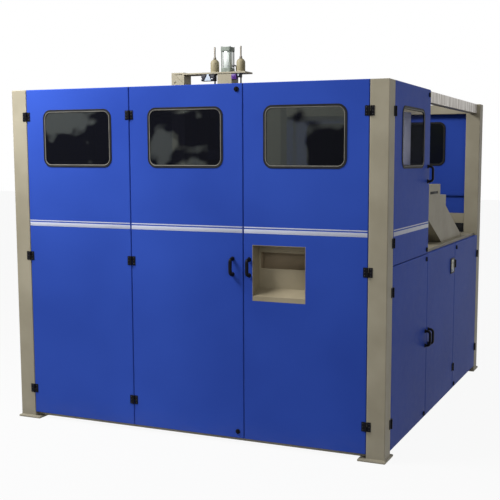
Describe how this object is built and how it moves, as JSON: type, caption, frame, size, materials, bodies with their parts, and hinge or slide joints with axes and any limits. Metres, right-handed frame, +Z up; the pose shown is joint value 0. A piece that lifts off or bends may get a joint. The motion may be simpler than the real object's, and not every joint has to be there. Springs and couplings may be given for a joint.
{
  "type": "blow moulding machine",
  "caption": "Two-cavity stretch blow moulding machine in a square guard cabinet with folding blue doors, windows, an outlet pocket and an open side bay.",
  "frame": {"origin": "on the floor under the middle of the cabinet", "axes": "+Z up, -Y towards the front doors with the outlet pocket, +X towards the open side bay"},
  "size_m": [2.306, 2.396, 2.24],
  "materials": {
    "blue_sheet": "satin blue powder coat",
    "cream_frame": "satin cream paint",
    "window": "tinted pane in black rubber",
    "black_fittings": "black",
    "meter_case": "black moulded case",
    "machined_steel": "machined",
    "mould_metal": "milled and polished",
    "chromed_bar": "hard chromed",
    "tan_body": "tan moulded",
    "valve_case": "dark moulded",
    "hose_rubber": "matt black",
    "lamp_quartz": "frosted quartz"
  },
  "bodies": {
    "cabinet": {"posts": "cream_frame", "frame_beams": "cream_frame", "deck_plate": "cream_frame", "left_panels": "blue_sheet", "rear_panels": "blue_sheet", "rear_windows": "window", "post_hinge_leaves": "black_fittings", "side_chute": "cream_frame", "chute_hopper": "cream_frame", "console": "cream_frame", "clamp_frame": "cream_frame", "tie_bars": "chromed_bar", "clamp_cylinders": "machined_steel", "stretch_gantry": "cream_frame", "roof_plate": "cream_frame", "blow_cylinder": "mould_metal", "stretch_cylinders": "tan_body", "valve_blocks": "valve_case", "cylinder_hose": "hose_rubber", "oven_housing": "machined_steel", "oven_lamps": "lamp_quartz", "control_cabinet": "cream_frame"},
    "left_door": {"door_left": "blue_sheet", "door_left_window": "window", "door_left_fittings": "black_fittings"},
    "middle_door": {"door_middle": "blue_sheet", "door_middle_window": "window", "door_middle_fittings": "black_fittings"},
    "right_door": {"door_right": "blue_sheet", "door_right_window": "window", "door_right_fittings": "black_fittings", "outlet_pocket": "cream_frame"},
    "upper_side_door": {"side_upper_door": "blue_sheet", "side_upper_window": "window", "side_upper_fittings": "black_fittings"},
    "front_side_door": {"side_front_door": "blue_sheet", "side_front_fittings": "black_fittings"},
    "middle_side_door": {"side_middle_door": "blue_sheet", "side_middle_fittings": "black_fittings", "panel_meter": "meter_case"},
    "rear_side_door": {"side_rear_door": "blue_sheet", "side_rear_fittings": "black_fittings"},
    "front_clamp": {"front_platen": "machined_steel", "front_mould_half": "mould_metal", "front_clamp_rod": "chromed_bar"},
    "rear_clamp": {"rear_platen": "machined_steel", "rear_mould_half": "mould_metal", "rear_clamp_rod": "chromed_bar"},
    "blow_unit": {"blow_head": "mould_metal", "blow_piston_rod": "chromed_bar"},
    "stretch_unit": {"stretch_rods": "chromed_bar", "stretch_crossbar": "machined_steel"},
    "front_top_latch_body": {"front_top_latch": "black_fittings"},
    "front_bottom_latch_body": {"front_bottom_latch": "black_fittings"},
    "side_top_latch_body": {"side_top_latch": "black_fittings"},
    "side_deck_latch_body": {"side_deck_latch": "black_fittings"},
    "side_front_top_latch_body": {"side_front_top_latch": "black_fittings"},
    "side_front_low_latch_body": {"side_front_low_latch": "black_fittings"},
    "side_rear_top_latch_body": {"side_rear_top_latch": "black_fittings"},
    "side_rear_low_latch_body": {"side_rear_low_latch": "black_fittings"}
  },
  "joints": [
    {"name": "left_door_swing", "type": "hinge", "parent": "cabinet", "child": "left_door", "pos_m": [-1.03, -1.1755, 0.97], "axis": [0, 0, -1], "range_deg": [0, 110]},
    {"name": "middle_door_fold", "type": "hinge", "parent": "left_door", "child": "middle_door", "pos_m": [-0.34333, -1.1755, 0.97], "axis": [0, 0, -1], "range_deg": [0, 165]},
    {"name": "right_door_swing", "type": "hinge", "parent": "cabinet", "child": "right_door", "pos_m": [1.03, -1.1755, 0.97], "axis": [0, 0, 1], "range_deg": [0, 110]},
    {"name": "upper_side_door_swing", "type": "hinge", "parent": "cabinet", "child": "upper_side_door", "pos_m": [1.1355, -1.07, 1.442], "axis": [0, 0, -1], "range_deg": [0, 110]},
    {"name": "front_side_door_swing", "type": "hinge", "parent": "cabinet", "child": "front_side_door", "pos_m": [1.1355, -1.07, 0.522], "axis": [0, 0, -1], "range_deg": [0, 110]},
    {"name": "rear_side_door_swing", "type": "hinge", "parent": "cabinet", "child": "rear_side_door", "pos_m": [1.1355, 1.07, 0.522], "axis": [0, 0, 1], "range_deg": [0, 110]},
    {"name": "middle_side_door_fold", "type": "hinge", "parent": "rear_side_door", "child": "middle_side_door", "pos_m": [1.1355, 0.35667, 0.522], "axis": [0, 0, 1], "range_deg": [0, 165]},
    {"name": "front_top_latch_turn", "type": "hinge", "parent": "middle_door", "child": "front_top_latch_body", "pos_m": [0.30733, -1.17, 1.89], "axis": [0, 1, 0], "range_deg": [0, 90]},
    {"name": "front_bottom_latch_turn", "type": "hinge", "parent": "middle_door", "child": "front_bottom_latch_body", "pos_m": [0.30733, -1.17, 0.072], "axis": [0, 1, 0], "range_deg": [0, 90]},
    {"name": "side_top_latch_turn", "type": "hinge", "parent": "upper_side_door", "child": "side_top_latch_body", "pos_m": [1.13, -0.39267, 1.89], "axis": [-1, 0, 0], "range_deg": [0, 90]},
    {"name": "side_deck_latch_turn", "type": "hinge", "parent": "upper_side_door", "child": "side_deck_latch_body", "pos_m": [1.13, -0.39267, 1.02], "axis": [-1, 0, 0], "range_deg": [0, 90]},
    {"name": "side_front_top_latch_turn", "type": "hinge", "parent": "front_side_door", "child": "side_front_top_latch_body", "pos_m": [1.13, -0.39267, 0.965], "axis": [-1, 0, 0], "range_deg": [0, 90]},
    {"name": "side_front_low_latch_turn", "type": "hinge", "parent": "front_side_door", "child": "side_front_low_latch_body", "pos_m": [1.13, -0.39267, 0.06], "axis": [-1, 0, 0], "range_deg": [0, 90]},
    {"name": "side_rear_top_latch_turn", "type": "hinge", "parent": "rear_side_door", "child": "side_rear_top_latch_body", "pos_m": [1.13, 0.39267, 0.965], "axis": [-1, 0, 0], "range_deg": [0, 90]},
    {"name": "side_rear_low_latch_turn", "type": "hinge", "parent": "rear_side_door", "child": "side_rear_low_latch_body", "pos_m": [1.13, 0.39267, 0.06], "axis": [-1, 0, 0], "range_deg": [0, 90]},
    {"name": "front_clamp_slide", "type": "slide", "parent": "cabinet", "child": "front_clamp", "axis": [0, -1, 0], "range_m": [0, 0.11]},
    {"name": "rear_clamp_slide", "type": "slide", "parent": "cabinet", "child": "rear_clamp", "axis": [0, 1, 0], "range_m": [0, 0.11]},
    {"name": "blow_press", "type": "slide", "parent": "cabinet", "child": "blow_unit", "axis": [0, 0, -1], "range_m": [0, 0.054]},
    {"name": "stretch_slide", "type": "slide", "parent": "cabinet", "child": "stretch_unit", "axis": [0, 0, -1], "range_m": [0, 0.24]}
  ],
  "couplings": [
    {"joint": "rear_clamp_slide", "follows": "front_clamp_slide", "ratio": 1}
  ]
}
